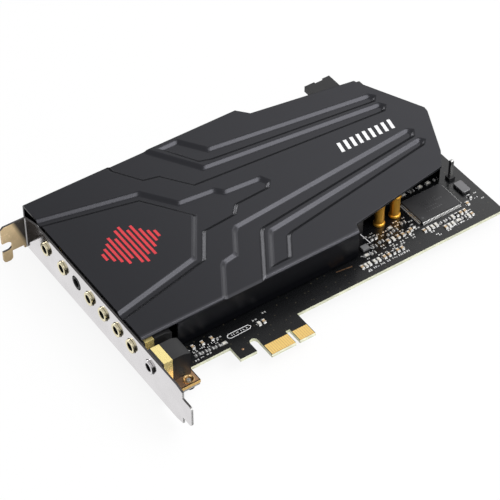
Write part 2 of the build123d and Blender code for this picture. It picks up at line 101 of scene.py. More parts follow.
class CardFinishes(bpy.types.PropertyGroup):
    """Colours of the card's finishes."""

    coat: FloatVectorProperty(
        name="Cover coat", description="Charcoal coat", subtype="COLOR", default=(0.003, 0.0033, 0.0045))
    mask: FloatVectorProperty(
        name="Solder mask", description="Black mask", subtype="COLOR", default=(0.003, 0.0033, 0.0038))
    laminate: FloatVectorProperty(
        name="Laminate", description="Cut edge of the board", subtype="COLOR", default=(0.70, 0.71, 0.54))
    nickel: FloatVectorProperty(
        name="Nickel", description="Bright bracket plate", subtype="COLOR", default=(0.80, 0.78, 0.79))
    # Painted reflection and shade: the tab's colour stands in for a warm reflection of the floor, and the
    # tab's material paints its dark part.
    tarnish: FloatVectorProperty(
        name="Tab painted reflection", description="Painted reflection and shade on the bracket's tab",
        subtype="COLOR", default=(0.80, 0.61, 0.36))
    # Painted shade: very dark steel on the bracket's sheet edges and the cover posts, in place of their
    # shade.
    cut_steel: FloatVectorProperty(
        name="Shade dark steel", description="Sheared sheet edges", subtype="COLOR", default=(0.10, 0.095, 0.095))
    gold: FloatVectorProperty(
        name="Gold", description="Plate of the jacks' shells", subtype="COLOR", default=(1.0, 0.80, 0.33))
    contact: FloatVectorProperty(
        name="Contact gold", description="Edge contacts", subtype="COLOR", default=(0.83, 0.57, 0.175))
    bed: FloatVectorProperty(
        name="Contact bed", description="Bare laminate between the contacts",
        subtype="COLOR", default=(0.58, 0.37, 0.12))
    # Painted highlight: the nozzles' gold is paled in place of their bright highlight.
    pale_gold: FloatVectorProperty(
        name="Pale gold", description="Plate paled as painted highlight on the nozzles",
        subtype="COLOR", default=(0.92, 0.84, 0.58))
    brass: FloatVectorProperty(
        name="Brass", description="Plain brass", subtype="COLOR", default=(0.62, 0.42, 0.20))
    copper: FloatVectorProperty(
        name="Copper", description="Bare copper", subtype="COLOR", default=(0.52, 0.31, 0.18))
    steel: FloatVectorProperty(
        name="Steel", description="Zinc plated steel", subtype="COLOR", default=(0.56, 0.56, 0.55))
    tin: FloatVectorProperty(
        name="Tin", description="Tinned leads and solder", subtype="COLOR", default=(0.72, 0.72, 0.71))
    can: FloatVectorProperty(
        name="Can", description="Satin metal can", subtype="COLOR", default=(0.20, 0.20, 0.205))
    sleeve: FloatVectorProperty(
        name="Sleeve", description="Gold film", subtype="COLOR", default=(0.82, 0.43, 0.06))
    ceramic: FloatVectorProperty(
        name="Ceramic", description="Chip capacitors", subtype="COLOR", default=(0.46, 0.33, 0.19))
    pale_ceramic: FloatVectorProperty(
        name="Pale ceramic", description="White chip parts", subtype="COLOR", default=(0.66, 0.64, 0.58))
    ferrite: FloatVectorProperty(
        name="Ferrite", description="Grey choke", subtype="COLOR", default=(0.17, 0.17, 0.175))
    epoxy: FloatVectorProperty(
        name="Epoxy", description="Moulded chips", subtype="COLOR", default=(0.028, 0.028, 0.030))
    nylon: FloatVectorProperty(
        name="Nylon", description="Black mouldings", subtype="COLOR", default=(0.012, 0.012, 0.013))
    white_ink: FloatVectorProperty(
        name="White ink", description="Printed marks", subtype="COLOR", default=(0.84, 0.84, 0.85))
    red_ink: FloatVectorProperty(
        name="Red ink", description="Printed level bars", subtype="COLOR", default=(0.63, 0.032, 0.045))


class StageSettings(bpy.types.PropertyGroup):
    """Camera, lamps and floor."""

    lens: FloatProperty(name="Lens", description="Focal length in mm", default=149.5, min=20.0)
    eye: FloatVectorProperty(
        name="Eye", description="Camera place in card mm", default=(-263.51, -433.23, 581.32))
    gaze: FloatVectorProperty(
        name="Gaze", description="Direction of view",
        default=(0.40340, 0.58611, -0.70267), subtype="DIRECTION")
    top_power: FloatProperty(name="Top", description="Power of the top lamp", default=5.7, unit="POWER")
    front_power: FloatProperty(name="Front", description="Power of the front lamp", default=1.8, unit="POWER")
    right_power: FloatProperty(name="Right", description="Power of the right lamp", default=0.9, unit="POWER")
    back_power: FloatProperty(name="Back", description="Power of the back lamp", default=1.9, unit="POWER")
    sky: FloatProperty(name="Sky", description="Strength of the even light", default=0.63, min=0.0)
    floor: FloatVectorProperty(
        name="Floor", description="Pale floor", subtype="COLOR", default=(0.88, 0.88, 0.88))


def wire(tree, source, target):
    """Links an output to an input."""
    tree.links.new(source, target)


def feed(tree, socket, value):
    """Sets an input to a number, or links it to an output."""
    if isinstance(value, (int, float)):
        socket.default_value = value
    else:
        wire(tree, value, socket)


def node(tree, kind, **values):
    """New node of a kind, with its settings."""
    made = tree.nodes.new(kind)
    for key, value in values.items():
        setattr(made, key, value)
    return made


def open_group(name, inputs, outputs):
    """New node group with its sockets, and its input and output nodes."""
    tree = bpy.data.node_groups.new(name, "ShaderNodeTree")
    for label, kind, value in inputs:
        socket = tree.interface.new_socket(label, in_out="INPUT", socket_type=kind)
        if value is not None:
            socket.default_value = value
    for label, kind in outputs:
        tree.interface.new_socket(label, in_out="OUTPUT", socket_type=kind)
    return tree, tree.nodes.new("NodeGroupInput"), tree.nodes.new("NodeGroupOutput")


def noise_of(tree, vector, scale, detail=4.0, roughness=0.55):
    """Noise over a vector, from 0 to 1."""
    made = node(tree, "ShaderNodeTexNoise")
    made.inputs["Detail"].default_value = detail
    made.inputs["Roughness"].default_value = roughness
    wire(tree, vector, made.inputs["Vector"])
    feed(tree, made.inputs["Scale"], scale)
    return made.outputs["Fac"]


def ranged(tree, value, low, high, to_low, to_high):
    """Value carried from one range to another, and kept within it."""
    made = node(tree, "ShaderNodeMapRange")
    wire(tree, value, made.inputs["Value"])
    for label, bound in (("From Min", low), ("From Max", high), ("To Min", to_low), ("To Max", to_high)):
        feed(tree, made.inputs[label], bound)
    return made.outputs["Result"]


def math_of(tree, operation, a, b):
    """Result of an operation on two values."""
    made = node(tree, "ShaderNodeMath", operation=operation)
    feed(tree, made.inputs[0], a)
    feed(tree, made.inputs[1], b)
    return made.outputs[0]


def weighted(tree, first, share, second, other_share):
    """Sum of two values, each times its share."""
    return math_of(
        tree, "ADD", math_of(tree, "MULTIPLY", first, share), math_of(tree, "MULTIPLY", second, other_share))


def mixed(tree, factor, first, second):
    """Colour between two colours, each an output or three numbers."""
    made = node(tree, "ShaderNodeMix", data_type="RGBA")
    wire(tree, factor, made.inputs[0])
    for socket, colour in ((made.inputs[6], first), (made.inputs[7], second)):
        if isinstance(colour, bpy.types.NodeSocket):
            wire(tree, colour, socket)
        else:
            socket.default_value = (*colour, 1.0)
    return made.outputs[2]


def grain_group():
    """Fine surface grain: a roughness that varies and a height for bump."""
    if "Fine grain" in bpy.data.node_groups:
        return bpy.data.node_groups["Fine grain"]
    tree, inside, outside = open_group(
        "Fine grain",
        [("Vector", "NodeSocketVector", None), ("Scale", "NodeSocketFloat", 2000.0),
         ("Smooth", "NodeSocketFloat", 0.3), ("Rough", "NodeSocketFloat", 0.5)],
        [("Roughness", "NodeSocketFloat"), ("Height", "NodeSocketFloat")])
    fine = noise_of(tree, inside.outputs["Vector"], inside.outputs["Scale"], 5.0)
    broad = noise_of(tree, inside.outputs["Vector"], 90.0, 3.0)
    both = weighted(tree, fine, 0.6, broad, 0.4)
    rough = ranged(tree, both, 0.3, 0.7, inside.outputs["Smooth"], inside.outputs["Rough"])
    wire(tree, rough, outside.inputs["Roughness"])
    wire(tree, fine, outside.inputs["Height"])
    return tree


def mottle_group():
    """Two close colours mixed by soft clouds, with a little fine speckle."""
    if "Mottle" in bpy.data.node_groups:
        return bpy.data.node_groups["Mottle"]
    tree, inside, outside = open_group(
        "Mottle",
        [("Vector", "NodeSocketVector", None), ("Scale", "NodeSocketFloat", 120.0),
         ("Dark", "NodeSocketColor", (0.1, 0.1, 0.1, 1.0)),
         ("Light", "NodeSocketColor", (0.2, 0.2, 0.2, 1.0))],
        [("Color", "NodeSocketColor")])
    cloud = noise_of(tree, inside.outputs["Vector"], inside.outputs["Scale"], 6.0, 0.6)
    speck = noise_of(tree, inside.outputs["Vector"], 6000.0, 2.0)
    both = weighted(tree, cloud, 0.75, speck, 0.25)
    factor = ranged(tree, both, 0.35, 0.65, 0.0, 1.0)
    wire(tree, mixed(tree, factor, inside.outputs["Dark"], inside.outputs["Light"]), outside.inputs["Color"])
    return tree


def trace_group():
    """Buried copper tracks and small vias of a circuit board, as masks."""
    if "Buried tracks" in bpy.data.node_groups:
        return bpy.data.node_groups["Buried tracks"]
    tree, inside, outside = open_group(
        "Buried tracks",
        [("Vector", "NodeSocketVector", None), ("Pitch", "NodeSocketFloat", 420.0)],
        [("Tracks", "NodeSocketFloat"), ("Vias", "NodeSocketFloat")])
    masks = []
    for turn, shift in ((0.0, 0.0), (0.785, 0.37)):
        mapping = node(tree, "ShaderNodeMapping")
        mapping.inputs["Rotation"].default_value = (0.0, 0.0, turn)
        mapping.inputs["Location"].default_value = (shift, shift * 0.6, 0.0)
        wire(tree, inside.outputs["Vector"], mapping.inputs["Vector"])
        bricks = node(tree, "ShaderNodeTexBrick", offset=0.37, squash=1.0)
        wire(tree, mapping.outputs["Vector"], bricks.inputs["Vector"])
        wire(tree, inside.outputs["Pitch"], bricks.inputs["Scale"])
        bricks.inputs["Mortar Size"].default_value = 0.035
        bricks.inputs["Mortar Smooth"].default_value = 0.15
        bricks.inputs["Brick Width"].default_value = 3.2
        bricks.inputs["Row Height"].default_value = 0.34
        patch = ranged(tree, noise_of(tree, mapping.outputs["Vector"], 110.0, 1.0), 0.47, 0.52, 0.0, 1.0)
        masks.append(math_of(tree, "MULTIPLY", bricks.outputs["Fac"], patch))
    wire(tree, math_of(tree, "MAXIMUM", *masks), outside.inputs["Tracks"])
    cells = node(tree, "ShaderNodeTexVoronoi", voronoi_dimensions="2D")
    cells.inputs["Scale"].default_value = 210.0
    wire(tree, inside.outputs["Vector"], cells.inputs["Vector"])
    wire(tree, ranged(tree, cells.outputs["Distance"], 0.035, 0.075, 1.0, 0.0), outside.inputs["Vias"])
    return tree


def smudge_group():
    """Soft handling marks and fine streaks on bright metal, as one mask."""
    if "Handling marks" in bpy.data.node_groups:
        return bpy.data.node_groups["Handling marks"]
    tree, inside, outside = open_group(
        "Handling marks",
        [("Vector", "NodeSocketVector", None), ("Streak", "NodeSocketFloat", 900.0)],
        [("Mask", "NodeSocketFloat")])
    clouds = noise_of(tree, inside.outputs["Vector"], 60.0, 4.0)
    mapping = node(tree, "ShaderNodeMapping")
    mapping.inputs["Scale"].default_value = (1.0, 0.04, 1.0)
    wire(tree, inside.outputs["Vector"], mapping.inputs["Vector"])
    streaks = noise_of(tree, mapping.outputs["Vector"], inside.outputs["Streak"], 3.0)
    both = weighted(tree, clouds, 0.55, streaks, 0.45)
    wire(tree, ranged(tree, both, 0.35, 0.7, 0.0, 1.0), outside.inputs["Mask"])
    return tree


def blank(name):
    """New material with a Principled shader and object coordinates."""
    material = bpy.data.materials.new(name)
    material.use_nodes = True
    tree = material.node_tree
    tree.nodes.clear()
    shader = node(tree, "ShaderNodeBsdfPrincipled")
    out = node(tree, "ShaderNodeOutputMaterial")
    place = node(tree, "ShaderNodeTexCoord")
    wire(tree, shader.outputs["BSDF"], out.inputs["Surface"])
    return material, tree, shader, place.outputs["Object"]


def first_of(tree, kind):
    """First node of a kind in a material."""
    return next(n for n in tree.nodes if n.bl_idname == kind)


def places(tree):
    """Outputs X, Y and Z of a material's object coordinates."""
    parts = node(tree, "ShaderNodeSeparateXYZ")
    wire(tree, first_of(tree, "ShaderNodeTexCoord").outputs["Object"], parts.inputs[0])
    return parts.outputs


def add_grain(tree, shader, vector, scale, smooth, rough, depth):
    """Places the fine grain in a material: its roughness and its bump."""
    grain = node(tree, "ShaderNodeGroup", node_tree=grain_group())
    grain.inputs["Scale"].default_value = scale
    grain.inputs["Smooth"].default_value = smooth
    grain.inputs["Rough"].default_value = rough
    wire(tree, vector, grain.inputs["Vector"])
    bump = node(tree, "ShaderNodeBump")
    bump.inputs["Strength"].default_value = 0.4
    bump.inputs["Distance"].default_value = depth
    wire(tree, grain.outputs["Height"], bump.inputs["Height"])
    wire(tree, grain.outputs["Roughness"], shader.inputs["Roughness"])
    wire(tree, bump.outputs["Normal"], shader.inputs["Normal"])
    return grain, bump


def add_mottle(tree, vector, colour, spread, scale):
    """Places the mottle in a material and returns its colour."""
    mottle = node(tree, "ShaderNodeGroup", node_tree=mottle_group())
    mottle.inputs["Scale"].default_value = scale
    mottle.inputs["Dark"].default_value = (*[c * (1 - spread) for c in colour], 1.0)
    mottle.inputs["Light"].default_value = (*[min(1.0, c * (1 + spread)) for c in colour], 1.0)
    wire(tree, vector, mottle.inputs["Vector"])
    return mottle.outputs["Color"]


def plain_finish(name, colour, spread, smooth, rough, scale=2200.0, depth=0.00002, metallic=0.0, tint=None):
    """Finish with mottled colour and fine grain."""
    if name in bpy.data.materials:
        return bpy.data.materials[name]
    material, tree, shader, vector = blank(name)
    shader.inputs["Metallic"].default_value = metallic
    if tint:
        shader.inputs["Specular Tint"].default_value = (*tint, 1.0)
    wire(tree, add_mottle(tree, vector, colour, spread, 140.0), shader.inputs["Base Color"])
    add_grain(tree, shader, vector, scale, smooth, rough, depth)
    return material


def bright_metal(name, colour, smooth, rough, spread=0.06, metallic=1.0):
    """Plated metal with handling marks in its roughness."""
    if name in bpy.data.materials:
        return bpy.data.materials[name]
    material, tree, shader, vector = blank(name)
    shader.inputs["Metallic"].default_value = metallic
    wire(tree, add_mottle(tree, vector, colour, spread, 80.0), shader.inputs["Base Color"])
    marks = node(tree, "ShaderNodeGroup", node_tree=smudge_group())
    wire(tree, vector, marks.inputs["Vector"])
    wire(tree, ranged(tree, marks.outputs["Mask"], 0.0, 1.0, smooth, rough), shader.inputs["Roughness"])
    bump = node(tree, "ShaderNodeBump")
    bump.inputs["Strength"].default_value = 0.12
    bump.inputs["Distance"].default_value = 0.00002
    wire(tree, marks.outputs["Mask"], bump.inputs["Height"])
    wire(tree, bump.outputs["Normal"], shader.inputs["Normal"])
    return material


def dull_plate(name, colour):
    """Plate of the bracket's tab, painted: its tan at the end stands in for a warm reflection, the dark
    towards the bend is a painted reflection of the blade, and it turns dark to glossy rays, a painted dark
    reflection in the blade.
    """
    if name in bpy.data.materials:
        return bpy.data.materials[name]
    material = bright_metal(name, colour, 0.16, 0.30, spread=0.15, metallic=0.15)
    tree = material.node_tree
    place = places(tree)
    # The painted dark reflection near the bend ends along a leaning line through this point of the tab.
    spot, lean = at(-2.5, 0, 4.1), 0.39
    line = math_of(tree, "ADD", place["X"], math_of(tree, "MULTIPLY", place["Z"], lean))
    edge = spot.x + lean * spot.z
    bend = ranged(tree, line, edge - MM, edge + MM, 0.0, 1.0)
    # Painted reflection: the tab is dark to glossy rays, so the blade mirrors it dark.
    path = node(tree, "ShaderNodeLightPath")
    dark = math_of(tree, "MAXIMUM", bend, path.outputs["Is Glossy Ray"])
    base = first_of(tree, "ShaderNodeBsdfPrincipled").inputs["Base Color"]
    tan = base.links[0].from_socket
    wire(tree, mixed(tree, dark, tan, (0.07, 0.062, 0.055)), base)
    return material


def coat_with_painted_sheen(name, colour):
    """Charcoal coat of the cover, satin on top; its specular level is raised along the front bend as a
    painted highlight and lowered low on the walls and towards the head as painted shade.
    """
    if name in bpy.data.materials:
        return bpy.data.materials[name]
    material = plain_finish(name, colour, 0.05, 0.27, 0.34, 5200.0, 0.000012, tint=(0.90, 0.90, 1.0))
    tree = material.node_tree
    place = places(tree)
    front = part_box("cover")[0].y
    # Painted shade: specular level falls towards the bottom of the walls.
    painted_sheen = ranged(tree, place["Z"], at(0, 0, 3.5).z, at(0, 0, 12.7).z, 0.03, 0.56)
    # Painted highlight: specular level nearly doubled along the front bend.
    near = ranged(tree, place["Y"], front + 1.1 * MM, front + 1.8 * MM, 0.9, 0.0)
    high = ranged(tree, place["Z"], at(0, 0, 12.6).z, at(0, 0, 13.1).z, 0.0, 1.0)
    painted_bend_highlight = math_of(tree, "ADD", math_of(tree, "MULTIPLY", near, high), 1.0)
    # Painted shade: specular level lowered towards the bracket end.
    head = ranged(tree, place["X"], at(10, 0, 0).x, at(70, 0, 0).x, 0.82, 1.0)
    level = math_of(tree, "MULTIPLY", math_of(tree, "MULTIPLY", painted_sheen, painted_bend_highlight), head)
    wire(tree, level, first_of(tree, "ShaderNodeBsdfPrincipled").inputs["Specular IOR Level"])
    return material


def board_mask(name, colour):
    """Black solder mask over buried tracks and vias, its specular level lowered towards the bracket as
    painted shade.
    """
    if name in bpy.data.materials:
        return bpy.data.materials[name]
    material, tree, shader, vector = blank(name)
    tracks = node(tree, "ShaderNodeGroup", node_tree=trace_group())
    wire(tree, vector, tracks.inputs["Vector"])
    base = add_mottle(tree, vector, colour, 0.2, 60.0)
    raised = mixed(tree, tracks.outputs["Tracks"], base, [c * 1.9 for c in colour])
    wire(tree, mixed(tree, tracks.outputs["Vias"], raised, (0.04, 0.035, 0.024)), shader.inputs["Base Color"])
    # Painted shade: specular level falls towards the bracket.
    painted_sheen = ranged(tree, places(tree)["X"], at(60, 0, 0).x, at(165, 0, 0).x, 0.27, 0.60)
    wire(tree, painted_sheen, shader.inputs["Specular IOR Level"])
    grain, bump = add_grain(tree, shader, vector, 1500.0, 0.22, 0.32, 0.000008)
    height = weighted(tree, tracks.outputs["Tracks"], 1.0, grain.outputs["Height"], 0.25)
    wire(tree, height, bump.inputs["Height"])
    return material


def finishes(context):
    """All finishes of the card by name, made on first use."""
    c = context.scene.card_finishes
    return {
        "coat": coat_with_painted_sheen("charcoal_coat", c.coat),
        "mask": board_mask("black_mask", c.mask),
        "laminate": plain_finish("glass_laminate", c.laminate, 0.22, 0.5, 0.75, 3000.0, 0.00003),
        "nickel": bright_metal("bright_nickel", c.nickel, 0.10, 0.20),
        "tarnish": dull_plate("dull_plate", c.tarnish),
        "cut_steel": bright_metal("cut_steel", c.cut_steel, 0.30, 0.45),
        "gold": bright_metal("shell_gold", c.gold, 0.20, 0.34, metallic=0.55),
        "contact": bright_metal("contact_gold", c.contact, 0.16, 0.26, metallic=0.12),
        "bed": plain_finish("contact_bed", c.bed, 0.15, 0.40, 0.60),
        "pale_gold": bright_metal("worn_gold", c.pale_gold, 0.14, 0.26),
        "brass": bright_metal("plain_brass", c.brass, 0.22, 0.38),
        "copper": bright_metal("bare_copper", c.copper, 0.25, 0.45, spread=0.25),
        "steel": bright_metal("zinc_plate", c.steel, 0.28, 0.45),
        "tin": bright_metal("matt_tin", c.tin, 0.30, 0.46, metallic=0.6),
        "can": bright_metal("satin_can", c.can, 0.32, 0.48),
        "sleeve": plain_finish("gold_film", c.sleeve, 0.04, 0.38, 0.44, 900.0, 0.0000003, metallic=0.85),
        "ceramic": plain_finish("fired_ceramic", c.ceramic, 0.18, 0.45, 0.65),
        "pale_ceramic": plain_finish("pale_ceramic", c.pale_ceramic, 0.10, 0.40, 0.60),
        "ferrite": plain_finish("grey_ferrite", c.ferrite, 0.12, 0.45, 0.65),
        "epoxy": plain_finish("chip_epoxy", c.epoxy, 0.12, 0.42, 0.58, 4200.0, 0.000015),
        "nylon": plain_finish("black_nylon", c.nylon, 0.15, 0.40, 0.58, 2600.0, 0.00002),
        "white_ink": plain_finish("white_ink", c.white_ink, 0.05, 0.45, 0.6, 3000.0, 0.000008),
        "red_ink": plain_finish("red_ink", c.red_ink, 0.10, 0.30, 0.45, 3000.0, 0.000008),
    }


def merged(name):
    """Joined copy of a solid's mesh, with flat triangles dissolved into whole faces."""
    work = bmesh.new()
    work.from_mesh(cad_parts[name].data)
    bmesh.ops.remove_doubles(work, verts=work.verts[:], dist=2e-6)
    bmesh.ops.dissolve_limit(work, angle_limit=math.radians(0.8), verts=work.verts[:], edges=work.edges[:])
    return work


def soften(work, width, segments=2, chosen=None, limit=35.0, clamp=True):
    """Rounds the sharp edges of a mesh, or those that are chosen."""
    sharp = math.radians(limit)
    rims = [e for e in work.edges if len(e.link_faces) == 2 and e.calc_face_angle(0.0) > sharp]
    if chosen:
        rims = [e for e in rims if chosen(e)]
    bmesh.ops.bevel(work, geom=rims, offset=width, offset_type="OFFSET", segments=segments, profile=0.5,
                    affect="EDGES", clamp_overlap=clamp, material=-1)


def block(work, low, high, width=0.0, segments=1, index=0):
    """Box between two corners in card millimetres, with its edges rounded where a width is given."""
    low, high = at(*low), at(*high)
    size = high - low
    made = bmesh.ops.create_cube(work, size=1.0)["verts"]
    bmesh.ops.scale(work, vec=size, verts=made)
    bmesh.ops.translate(work, vec=(low + high) / 2, verts=made)
    faces = {f for v in made for f in v.link_faces}
    for f in faces:
        f.material_index = index
    if width:
        edges = list({e for v in made for e in v.link_edges})
        bmesh.ops.bevel(work, geom=edges, offset=width, offset_type="OFFSET", segments=segments, profile=0.5,
                        affect="EDGES", clamp_overlap=True, material=-1)


def stroke(work, start, end, width, z, height):
    """Thin printed bar between two points on a level, in card millimetres."""
    a, b = at(start[0], start[1], z), at(end[0], end[1], z)
    along = b - a
    turn = math.atan2(along.y, along.x)
    made = bmesh.ops.create_cube(work, size=1.0)["verts"]
    bmesh.ops.scale(work, vec=(along.length, width * MM, height), verts=made)
    bmesh.ops.rotate(work, cent=(0, 0, 0), matrix=Matrix.Rotation(turn, 3, "Z"), verts=made)
    bmesh.ops.translate(work, vec=(a + b) / 2 + Vector((0, 0, height / 2)), verts=made)


def lathe(work, centre, axis, outline, steps=40):
    """Turned solid: an outline of (radius, height) in millimetres spun round an axis through a card point."""
    middle = at(*centre)
    turn = Vector(UP).rotation_difference(Vector(axis)).to_matrix()
    ring = outline[0] == outline[-1]
    spots = outline[:-1] if ring else outline
    points = [work.verts.new(middle + turn @ Vector((r * MM, 0, h * MM))) for r, h in spots]
    pairs = list(zip(points, points[1:])) + ([(points[-1], points[0])] if ring else [])
    edges = [work.edges.new(pair) for pair in pairs]
    bmesh.ops.spin(work, geom=points + edges, cent=middle, axis=turn @ Vector(UP),
                   angle=math.tau, steps=steps, use_merge=True)


def draw_out(work, faces, shift):
    """Makes a closed solid of faces, drawn out along a shift."""
    made = bmesh.ops.extrude_face_region(work, geom=faces, use_keep_orig=True)["geom"]
    bmesh.ops.translate(work, vec=shift, verts=[g for g in made if isinstance(g, bmesh.types.BMVert)])


def holed_plate(work, middle, radius, corners, height):
    """Plate between a circle and an outline of points, either of which may be the hole."""
    place = Matrix.Translation(middle)
    rim = bmesh.ops.create_circle(work, segments=32, radius=radius, matrix=place)["verts"]
    edges = list({e for v in rim for e in v.link_edges})
    points = [work.verts.new(p) for p in corners]
    edges += [work.edges.new(pair) for pair in zip(points, points[1:] + points[:1])]
    filled = bmesh.ops.triangle_fill(work, use_beauty=True, edges=edges, normal=UP)["geom"]
    draw_out(work, [g for g in filled if isinstance(g, bmesh.types.BMFace)], (0, 0, height))


def piece(name, work, used, slot, *replaced, smooth=40.0):
    """Finished object from a mesh under construction, riding on the card."""
    work.normal_update()
    for face in work.faces:
        face.smooth = True
    for edge in work.edges:
        edge.smooth = edge.calc_face_angle(math.pi) < math.radians(smooth)
    mesh = bpy.data.meshes.new(name)
    work.to_mesh(mesh)
    work.free()
    for material in used:
        mesh.materials.append(material)
    made = bpy.data.objects.new(name, mesh)
    bpy.context.scene.collection.objects.link(made)
    flat = made.modifiers.new("Flat faces", "WEIGHTED_NORMAL")
    flat.keep_sharp = True
    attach(made, "root")
    if replaced:
        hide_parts(*replaced)


def dressed(name, ending, finish, slot, width=0.0, segments=2):
    """Piece that is one solid in one finish, with its sharp edges rounded where a width is given."""
    work = merged(name)
    if width:
        soften(work, width, segments)
    piece(name + ending, work, [finish], slot, name)


def closed(work):
    """Merges doubles and turns all faces outwards."""
    bmesh.ops.remove_doubles(work, verts=work.verts[:], dist=1e-7)
    bmesh.ops.recalc_face_normals(work, faces=work.faces[:])


def card_box(name):
    """Corners of a solid's box in card millimetres."""
    return [(p - ORIGIN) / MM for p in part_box(name)]


def islands(name):
    """Boxes of the separate solids in a node, in card millimetres."""
    work = bmesh.new()
    work.from_mesh(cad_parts[name].data)
    bmesh.ops.remove_doubles(work, verts=work.verts[:], dist=2e-6)
    left, boxes = set(work.verts), []
    while left:
        front = [left.pop()]
        found = list(front)
        while front:
            vert = front.pop()
            near = [e.other_vert(vert) for e in vert.link_edges]
            fresh = [v for v in near if v in left]
            left.difference_update(fresh)
            front += fresh
            found += fresh
        spots = [(v.co - ORIGIN) / MM for v in found]
        boxes.append(([min(c) for c in zip(*spots)], [max(c) for c in zip(*spots)]))
    work.free()
    return sorted(boxes)


class CARD_OT_board(bpy.types.Operator):
    """Board with mask on its faces, bare laminate on its cut edges, the contact bed's colour on the foot's
    edges as painted shade, and its printed and bare places
    """

    bl_idname = "card.board"
    bl_label = "Board"

    def execute(self, context):
        look = finishes(context)
        ink = context.scene.card_sizes.print_t
        work = merged("board")
        # The foot's cut edges take the darker contact bed colour, painted shade.
        foot_end = at(16.0, 0, 0).x
        for face in work.faces:
            edge = 2 if face.calc_center_median().x < foot_end else 1
            face.material_index = 0 if abs(face.normal.z) > 0.97 else edge
        used = [look["mask"], look["laminate"], look["bed"]]
        piece("board_plate", work, used, "board", "board", smooth=30.0)

        pad = bmesh.new()
        low, high = card_box("lower_insert")
        hole = (low + high) / 2
        corners = [at(x, y, 0) for x, y in ((7.2, 5.7), (15.5, 5.7), (15.5, 11.9), (7.2, 11.9))]
        holed_plate(pad, at(hole.x, hole.y, 0), 2.15 * MM, corners, ink)
        closed(pad)
        piece("foot_pad", pad, [look["copper"]], "brass")

        marks = bmesh.new()
        stroke(marks, (91.0, 22.1), (98.3, 21.2), 0.5, 0, ink)
        lathe(marks, (37.6, 9.1, 0), UP, [(0, 0.05), (0.45, 0.05), (0.55, 0)], 16)
        closed(marks)
        piece("bare_copper_marks", marks, [look["copper"]], "brass")

        for name in ("edge_contacts_component", "edge_contacts_solder"):
            dressed(name, "_plate", look["contact"], "gold_plate")
        bed, thick = bmesh.new(), 0.02
        for start, end in ((45.3, 56.0), (58.4, 65.1)):
            for base in (0, -BOARD_T - thick):
                block(bed, (start, 0.4, base), (end, 5.9, base + thick))
        piece("contact_bed", bed, [look["bed"]], "gold_plate")
        return {"FINISHED"}


class CARD_OT_silk(bpy.types.Operator):
    """Printed outlines and rows of short plain marks on the board"""

    bl_idname = "card.silk"
    bl_label = "Board print"

    def execute(self, context):
        look = finishes(context)
        ink = context.scene.card_sizes.print_t
        line, fine_line = 0.2, 0.17
        work = bmesh.new()
        oval = [(36.2, 17.0), (37.0, 16.2), (46.0, 16.4), (47.0, 17.3), (46.2, 18.4), (37.2, 18.5),
                (36.2, 17.6)]
        for a, b in zip(oval, oval[1:] + oval[:1]):
            stroke(work, a, b, 0.28, 0, ink)
        stroke(work, (111.8, 34.0), (112.2, 27.6), 0.35, 0, ink)

        # Rows of marks: start, middle line, end and height.
        rows = ((143.4, 16.4, 155.2, 0.9), (102.6, 15.6, 123.0, 1.0), (38.2, 17.4, 45.6, 0.8),
                (21.0, 18.4, 33.0, 0.8), (158.6, 24.6, 165.0, 0.8), (104.4, 23.4, 111.0, 0.8))
        chance = random.Random(11)
        for x, y, end, tall in rows:
            while x < end:
                long = chance.uniform(0.35, 0.8)
                kind = chance.randrange(3)
                if kind < 2:
                    stroke(work, (x, y - tall / 2), (x, y + tall / 2), line, 0, ink)
                if kind > 0:
                    stroke(work, (x, y + tall * chance.choice((-0.4, 0, 0.4))), (x + long, y), line, 0, ink)
                x += long + chance.choice((0.35, 0.35, 1.1))

        for low, high in islands("chip_resistors") + islands("chip_capacitors"):
            x, y = chance.choice((low[0] - 0.5, high[0] + 0.4)), chance.uniform(low[1], high[1] - 0.6)
            for n in range(chance.randrange(4)):
                start = y + n * 0.5
                end = (x + chance.uniform(-0.3, 0.3), start + 0.3)
                stroke(work, (x, start), end, fine_line, 0, ink)
        piece("silk_marks", work, [look["white_ink"]], "board")
        return {"FINISHED"}


class CARD_OT_bracket(bpy.types.Operator):
    """Bracket with rounded sheet edges, its tab in painted reflection and shade, its sheet edges painted dark
    as shade, and a bright bend
    """

    bl_idname = "card.bracket"
    bl_label = "Bracket"

    def execute(self, context):
        look = finishes(context)
        sizes = context.scene.card_sizes
        work = merged("bracket")
        used = [look["nickel"], look["tarnish"], look["cut_steel"], look["tin"]]
        # dull: the tab's painted reflection and shade; cut: sheet edges painted dark as shade.
        bright, dull, cut, pale = range(4)
        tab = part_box("bracket")[1].y - 2.0 * MM
        blade_front, blade_middle = at(0, 0, 0).x, at(0.4, 0, 0).x
        for face in work.faces:
            middle = face.calc_center_median()
            on_tab = middle.y > tab
            # Broad faces are nickel and the tab's outer part takes the painted reflection and shade; edges
            # facing the front take tin, the other edges are painted dark as shade.
            if abs(face.normal.x) > 0.9 or abs(face.normal.y) > 0.9 and on_tab:
                face.material_index = dull if on_tab and middle.x < blade_middle else bright
            else:
                face.material_index = pale if face.normal.y < -0.7 else cut

        def bend(edge):
            return all(abs(v.co.x - blade_front) < 1e-5 and v.co.y > tab for v in edge.verts)

        soften(work, sizes.bend_round, 3, bend)
        for face in work.faces:
            if face.normal.x < -0.2 and face.normal.y < -0.2 and face.calc_center_median().y > tab:
                face.material_index = pale
        soften(work, sizes.sheet_round, 2, limit=40.0)
        piece("bracket_plate", work, used, "bracket", "bracket")
        return {"FINISHED"}


